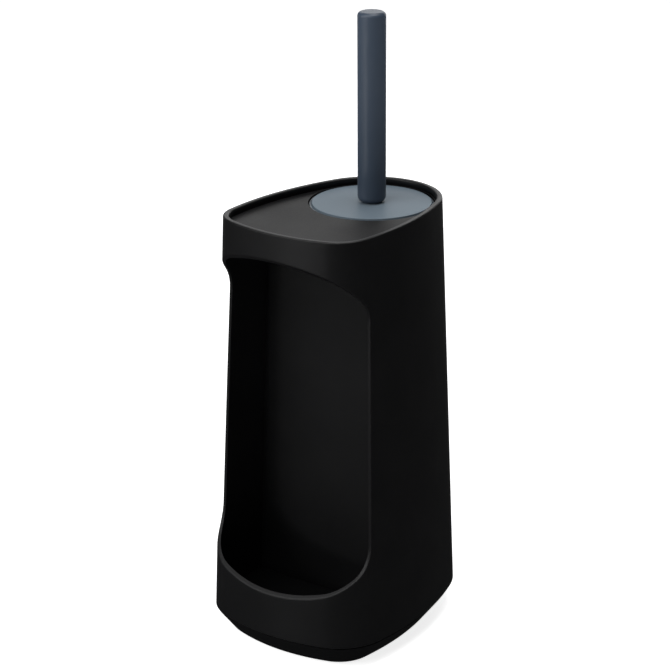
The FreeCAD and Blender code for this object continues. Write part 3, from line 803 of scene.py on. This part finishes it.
def add_node(tree, kind, values, group=None):
    """A new shader node with its inputs filled, which may stand for a node group."""
    node = tree.nodes.new("ShaderNode" + kind)
    if group:
        node.node_tree = group
    fill(tree, node, values)
    return node


def math_node(tree, operation, *values):
    """The result of a sum whose values are sockets or plain numbers."""
    node = add_node(tree, "Math", dict(enumerate(values)))
    node.operation = operation
    return node.outputs[0]


def noise_node(tree, vector, scale, detail, roughness):
    """The value of a noise texture on the given vector."""
    values = {"Vector": vector, "Scale": scale, "Detail": detail, "Roughness": roughness}
    return add_node(tree, "TexNoise", values).outputs["Fac"]


def moulded_grain():
    """Fine spark-eroded grain of moulded plastic: a height for the bump, and a roughness that wanders
    with the grain and with broad, faint patches."""
    found = bpy.data.node_groups.get("Moulded Grain")
    if found:
        return found
    inputs = [
        ("Vector", "NodeSocketVector", None),
        ("Grain Size", "NodeSocketFloat", 1.0),
        ("Roughness", "NodeSocketFloat", 0.5),
        ("Variation", "NodeSocketFloat", 0.08),
    ]
    outputs = [("Height", "NodeSocketFloat"), ("Roughness", "NodeSocketFloat")]
    tree, start, end = group_sockets("Moulded Grain", inputs, outputs)
    given = start.outputs
    scale = math_node(tree, "DIVIDE", 1600.0, given["Grain Size"])
    fine = noise_node(tree, given["Vector"], scale, 3.0, 0.6)
    broad = noise_node(tree, given["Vector"], 14.0, 2.0, 0.5)
    both = math_node(tree, "ADD", fine, broad)
    centred = math_node(tree, "SUBTRACT", both, 1.0)
    rough = math_node(tree, "MULTIPLY_ADD", centred, given["Variation"], given["Roughness"])
    fill(tree, end, {"Height": fine, "Roughness": rough})
    return tree


def faint_wear():
    """Colour with faint, broad unevenness, as plastic has after handling and wiping."""
    found = bpy.data.node_groups.get("Faint Wear")
    if found:
        return found
    inputs = [
        ("Vector", "NodeSocketVector", None),
        ("Colour", "NodeSocketColor", (0.5, 0.5, 0.5, 1)),
        ("Worn Colour", "NodeSocketColor", (0.6, 0.6, 0.6, 1)),
        ("Amount", "NodeSocketFloat", 0.3),
    ]
    tree, start, end = group_sockets("Faint Wear", inputs, [("Colour", "NodeSocketColor")])
    given = start.outputs
    patches = noise_node(tree, given["Vector"], 22.0, 5.0, 0.55)
    sharpen = add_node(tree, "MapRange", {"Value": patches, "From Min": 0.35, "From Max": 0.75})
    share = math_node(tree, "MULTIPLY", sharpen.outputs["Result"], given["Amount"])
    mix = tree.nodes.new("ShaderNodeMix")
    mix.data_type = "RGBA"
    fill(tree, mix, {"Factor": share, "A": given["Colour"], "B": given["Worn Colour"]})
    fill(tree, end, {"Colour": mix.outputs["Result"]})
    return tree


def finish_material(name, colour, worn, roughness, bump, amount=0.5, variation=0.08, grain=1.0,
                    metallic=0.0, specular=0.5):
    """A principled material that takes its colour, roughness and bump from the two shared groups."""
    made = bpy.data.materials.get(name)
    if made:
        return made
    made = bpy.data.materials.new(name)
    made.use_nodes = True
    tree = made.node_tree
    place = tree.nodes.new("ShaderNodeTexCoord").outputs["Object"]
    values = {"Vector": place, "Grain Size": grain, "Roughness": roughness, "Variation": variation}
    grainy = add_node(tree, "Group", values, moulded_grain()).outputs
    values = {"Vector": place, "Colour": (*colour, 1), "Worn Colour": (*worn, 1), "Amount": amount}
    wear = add_node(tree, "Group", values, faint_wear()).outputs
    values = {"Strength": bump, "Distance": 0.0002, "Height": grainy["Height"]}
    raised = add_node(tree, "Bump", values).outputs
    fill(tree, tree.nodes["Principled BSDF"], {
        "Metallic": metallic,
        "Specular IOR Level": specular,
        "Roughness": grainy["Roughness"],
        "Base Color": wear["Colour"],
        "Normal": raised["Normal"],
    })
    return made


def tint(colour, share):
    """A colour moved by a share towards a middle grey."""
    return tuple(c * (1 - share) + 0.25 * share for c in colour)


def black_satin(colour):
    return finish_material("Black satin plastic", colour, tint(colour, 0.008),
                           roughness=0.45, variation=0.10, bump=0.10, specular=0.3)


def black_matt(colour):
    """The base's and the nut's finish, darker and without sheen."""
    dark = tuple(0.7 * c for c in colour)
    return finish_material("Black matt plastic", dark, tint(dark, 0.006), amount=0.4,
                           roughness=0.6, grain=1.2, bump=0.12, specular=0.12)


def black_textured(colour):
    """The deck's coarser grain."""
    return finish_material("Black textured plastic", colour, tint(colour, 0.012),
                           roughness=0.55, variation=0.12, grain=2.5, bump=0.3, specular=0.2)


def lid_plastic(colour):
    return finish_material("Blue-grey satin plastic", colour, tint(colour, 0.1), amount=0.4,
                           roughness=0.5, bump=0.06, specular=0.12)


def grip_plastic(colour):
    return finish_material("Blue-grey soft-touch plastic", colour, tint(colour, 0.08), amount=0.4,
                           roughness=0.42, bump=0.08)


def cup_plastic(colour):
    return finish_material("Grey cup plastic", colour, tint(colour, 0.1), amount=0.4,
                           roughness=0.38, variation=0.06, grain=2.0, bump=0.04)


def white_nylon():
    return finish_material("White nylon", (0.72, 0.73, 0.72), (0.6, 0.6, 0.58),
                           roughness=0.42, bump=0.0)


def white_plastic():
    return finish_material("White plastic", (0.7, 0.7, 0.69), (0.62, 0.62, 0.6),
                           roughness=0.35, variation=0.06, grain=2.0, bump=0.03)


def foot_rubber():
    return finish_material("Foot rubber", (0.018, 0.018, 0.018), (0.04, 0.04, 0.04), amount=0.6,
                           roughness=0.8, variation=0.1, grain=1.4, bump=0.2)


def zinc_steel():
    return finish_material("Zinc plated steel", (0.55, 0.55, 0.56), (0.4, 0.4, 0.38),
                           roughness=0.32, variation=0.1, grain=0.6, bump=0.05, metallic=1.0)


def turned_brass():
    return finish_material("Turned brass", (0.72, 0.5, 0.2), (0.5, 0.36, 0.16),
                           roughness=0.3, variation=0.1, grain=0.6, bump=0.05, metallic=1.0)


# ---- settings
number = bpy.props.FloatProperty
length = partial(number, unit="LENGTH")
slope_angle = partial(number, min=0.2, max=1.2, subtype="ANGLE")
power = partial(number, min=0, unit="POWER")
paint_colour = partial(bpy.props.FloatVectorProperty, min=0, max=1, size=3, subtype="COLOR")


class BRUSHHOLDER_OpeningSettings(bpy.types.PropertyGroup):
    wrap: length(name="Wrap", description="How far the opening reaches round behind the front face",
        default=0.0438, min=0.02, max=0.08)
    bottom: length(
        name="Bottom", description="Height of the opening's lower edge in the middle of the front",
        default=0.0661, min=0.04, max=0.15)
    top: length(name="Top", description="Height of the opening's upper edge in the middle of the front",
        default=0.3945, min=0.25, max=0.405)
    bottom_slope: slope_angle(
        name="Bottom slope", description="Slope of the lower edge as it runs back from the front",
        default=math.radians(41.2))
    top_slope: slope_angle(
        name="Top slope", description="Slope of the upper edge as it runs back from the front",
        default=math.radians(42.4))
    bottom_turn: length(name="Bottom turn", description="Radius where the lower edge turns up",
        default=0.040, min=0.005, max=0.06)
    top_turn: length(name="Top turn", description="Radius where the upper edge turns down",
        default=0.031, min=0.005, max=0.06)


class BRUSHHOLDER_ColourSettings(bpy.types.PropertyGroup):
    housing: paint_colour(name="Housing", description="Colour of the housing and its base",
        default=(0.0030, 0.0030, 0.0034))
    lid: paint_colour(name="Lid", description="Colour of the lid", default=(0.128, 0.165, 0.198))
    grip: paint_colour(name="Grip", description="Colour of the handle's grip",
        default=(0.032, 0.048, 0.074))
    cup: paint_colour(name="Cup", description="Colour of the drip cup", default=(0.055, 0.07, 0.085))


class BRUSHHOLDER_StageSettings(bpy.types.PropertyGroup):
    ambient: number(name="Ambient", description="Brightness of the room's light on the holder",
        default=0.035, min=0)
    key: power(name="Key light", description="Power of the wide light at the front left", default=9.2)
    strip: power(name="Low strip", description="Power of the low strip in front", default=2.7)
    overhead: power(name="Overhead light", description="Power of the wide light above the front",
        default=28.0)
    top: power(name="Top light", description="Power of the light straight above", default=26.0)
    back: power(name="Back light", description="Power of the wide light behind", default=16.0)
    rear: power(name="Rear light", description="Power of the low light behind, which models the back",
        default=5.0)
    left: power(
        name="Left light", description="Power of the low light at the left, which models that side",
        default=1.5)


# ---- operators
class BRUSHHOLDER_OT_housing(bpy.types.Operator):
    """Build the housing, its deck, the partition and the base"""

    bl_idname = "brush_holder.housing"
    bl_label = "Housing"

    def execute(self, context):
        colour = tuple(context.scene.brush_holder_colours.housing)
        satin = black_satin(colour)
        matt = black_matt(colour)
        textured = black_textured(colour)
        grids = housing_grids(context.scene.brush_holder_opening)
        make_piece("housing", grids, "holder", ["outer_shell"], satin)
        make_piece("deck", deck_grids(), "holder", ["top_deck"], textured)
        make_piece("partition", panel_grids(), "holder", ["partition_panel"], satin)
        make_piece("base", plinth_grids(), "holder", ["base_plinth"], matt)
        return {"FINISHED"}


class BRUSHHOLDER_OT_fixings(bpy.types.Operator):
    """Build the screws and the rubber feet"""

    bl_idname = "brush_holder.fixings"
    bl_label = "Screws and feet"

    def execute(self, context):
        make_piece("screws", screw_grids(), "holder", ["base_screws"], zinc_steel())
        make_piece("feet", foot_grids(), "holder", ["rubber_feet"], foot_rubber())
        return {"FINISHED"}


class BRUSHHOLDER_OT_cup(bpy.types.Operator):
    """Build the lift-out drip cup"""

    bl_idname = "brush_holder.cup"
    bl_label = "Drip cup"

    def execute(self, context):
        finish = cup_plastic(tuple(context.scene.brush_holder_colours.cup))
        make_piece("cup", cup_grids(), "drip_cup_body", ["drip_cup"], finish)
        return {"FINISHED"}


class BRUSHHOLDER_OT_handle(bpy.types.Operator):
    """Build the lid, the grip, the stem and what joins them"""

    bl_idname = "brush_holder.handle"
    bl_label = "Lid and handle"

    def execute(self, context):
        colours = context.scene.brush_holder_colours
        lid = lid_plastic(tuple(colours.lid))
        grip = grip_plastic(tuple(colours.grip))
        black = black_matt(tuple(colours.housing))
        make_piece("lid", lid_grids(), "lid", ["lid_disc"], lid)
        make_piece("grip", grip_grids(), "brush", ["handle_grip"], grip)
        make_piece("stem", stem_grids(), "brush", ["brush_stem"], white_plastic())
        make_piece("nut", nut_grids(), "brush", ["lid_nut"], black)
        make_piece("stud", stud_grids(), "brush", ["thread_stud"], zinc_steel())
        return {"FINISHED"}


class BRUSHHOLDER_OT_head(bpy.types.Operator):
    """Build the brush head: insert, core and bristles"""

    bl_idname = "brush_holder.head"
    bl_label = "Brush head"

    def execute(self, context):
        make_piece("insert", insert_grids(), "brush_head", ["head_insert"], turned_brass())
        make_piece("core", core_grids(), "brush_head", ["head_core"], white_plastic())
        mesh = bristle_mesh("tufts", bristle_grids())
        mesh.materials.append(white_nylon())
        tufts = new_object("tufts", mesh)
        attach(tufts, "brush_head")
        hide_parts("bristles")
        return {"FINISHED"}


# ---- the stage, in metres
HOLDER_MIDDLE = (0.0, 0.0, 0.28)
CAMERA_PLACE = (1.4034, -1.8249, 1.1096)
CAMERA_TARGET = (0.02882, 0.00513, 0.3282)
FLOOR_HALF = 60.0
FLOOR_GLOW = 0.82
BACKDROP_GLOW = 0.85


def aim(made, place, target):
    """Puts a light or camera at a place and turns its -Z axis to the target, with Y upwards."""
    made.location = place
    made.rotation_mode = "QUATERNION"
    made.rotation_quaternion = (Vector(target) - Vector(place)).to_track_quat("-Z", "Y")


def soft_light(name, place, size, energy):
    """A rectangular light of the given width and height that faces the holder's middle."""
    data = bpy.data.lights.new(name, "AREA")
    data.shape = "RECTANGLE"
    data.size, data.size_y = size
    data.energy = energy
    light = new_object(name, data)
    light.visible_camera = False
    aim(light, place, HOLDER_MIDDLE)
    return light


def studio_world(ambient):
    """A white backdrop for the camera, in a room that lights the holder as much as ambient says."""
    world = bpy.data.worlds.new("Studio")
    world.use_nodes = True
    tree = world.node_tree
    room = tree.nodes["Background"]
    fill(tree, room, {"Color": (1, 1, 1, 1), "Strength": ambient})
    backdrop = add_node(tree, "Background", {"Color": (1, 1, 1, 1), "Strength": BACKDROP_GLOW})
    seen = tree.nodes.new("ShaderNodeLightPath").outputs["Is Camera Ray"]
    values = {"Fac": seen, 1: room.outputs["Background"], 2: backdrop.outputs["Background"]}
    mix = add_node(tree, "MixShader", values)
    fill(tree, tree.nodes["World Output"], {"Surface": mix.outputs["Shader"]})
    return world


class BRUSHHOLDER_OT_stage(bpy.types.Operator):
    """Set up the pale floor, the soft lights and the camera"""

    bl_idname = "brush_holder.stage"
    bl_label = "Floor, lights and camera"

    def execute(self, context):
        settings = context.scene.brush_holder_stage
        floor_mesh = bpy.data.meshes.new("floor")
        half = FLOOR_HALF
        corners = [(-half, -half, 0), (half, -half, 0), (half, half, 0), (-half, half, 0)]
        floor_mesh.from_pydata(corners, [], [(0, 1, 2, 3)])
        floor = new_object("floor", floor_mesh)
        paint = bpy.data.materials.new("Pale floor")
        paint.use_nodes = True
        fill(paint.node_tree, paint.node_tree.nodes["Principled BSDF"], {
            "Base Color": (0.8, 0.8, 0.8, 1),
            "Roughness": 0.9,
            "Specular IOR Level": 0.2,
            "Emission Color": (1, 1, 1, 1),
            "Emission Strength": FLOOR_GLOW,
        })
        floor_mesh.materials.append(paint)
        floor.visible_glossy = False
        context.scene.world = studio_world(settings.ambient)
        lights = [
            soft_light("key", (-1.147, -1.638, 0.9), (1.6, 0.6), settings.key),
            soft_light("strip", (-0.484, -1.941, 0.1), (0.6, 0.18), settings.strip),
            soft_light("overhead", (-0.26, -1.477, 1.9), (2.4, 1.0), settings.overhead),
            soft_light("top", (0.2, 0.2, 2.4), (1.2, 1.2), settings.top),
            soft_light("back", (-1.3, 2.1, 1.5), (2.4, 1.2), settings.back),
            soft_light("rear", (-0.55, 2.1, 0.55), (1.3, 0.9), settings.rear),
            soft_light("left", (-2.1, 0.75, 0.5), (0.7, 0.9), settings.left),
        ]
        data = bpy.data.cameras.new("camera")
        camera = new_object("camera", data)
        data.sensor_width = 36.0
        data.lens = 137.4
        data.shift_x = -0.05476
        data.shift_y = -0.04797
        data.clip_start = 0.05
        data.clip_end = 50.0
        aim(camera, CAMERA_PLACE, CAMERA_TARGET)
        context.scene.camera = camera
        context.scene.view_settings.view_transform = "Standard"
        return {"FINISHED"}


class BRUSHHOLDER_PT_panel(bpy.types.Panel):
    """Sizes, colours and the steps that build the holder"""

    bl_idname = "BRUSHHOLDER_PT_panel"
    bl_label = "Toilet Brush Holder"
    bl_space_type = "VIEW_3D"
    bl_region_type = "UI"
    bl_category = "Brush Holder"

    def draw(self, context):
        scene = context.scene
        for title, settings in (
            ("Opening", scene.brush_holder_opening),
            ("Colours", scene.brush_holder_colours),
            ("Stage", scene.brush_holder_stage),
        ):
            box = self.layout.box()
            box.label(text=title)
            for name in settings.bl_rna.properties.keys():
                if name not in ("rna_type", "name"):
                    box.prop(settings, name)
        for step in STEPS:
            self.layout.operator(step.bl_idname)


SETTINGS = {
    "brush_holder_opening": BRUSHHOLDER_OpeningSettings,
    "brush_holder_colours": BRUSHHOLDER_ColourSettings,
    "brush_holder_stage": BRUSHHOLDER_StageSettings,
}
STEPS = (
    BRUSHHOLDER_OT_housing,
    BRUSHHOLDER_OT_fixings,
    BRUSHHOLDER_OT_cup,
    BRUSHHOLDER_OT_handle,
    BRUSHHOLDER_OT_head,
    BRUSHHOLDER_OT_stage,
)


def register():
    for name, settings in SETTINGS.items():
        bpy.utils.register_class(settings)
        setattr(bpy.types.Scene, name, bpy.props.PointerProperty(type=settings))
    for step in STEPS:
        bpy.utils.register_class(step)
    bpy.utils.register_class(BRUSHHOLDER_PT_panel)


def unregister():
    bpy.utils.unregister_class(BRUSHHOLDER_PT_panel)
    for step in reversed(STEPS):
        bpy.utils.unregister_class(step)
    for name, settings in SETTINGS.items():
        delattr(bpy.types.Scene, name)
        bpy.utils.unregister_class(settings)


def main():
    register()
    bpy.ops.brush_holder.housing()
    bpy.ops.brush_holder.fixings()
    bpy.ops.brush_holder.cup()
    bpy.ops.brush_holder.handle()
    bpy.ops.brush_holder.head()
    bpy.ops.brush_holder.stage()


if __name__ == "__main__":
    main()
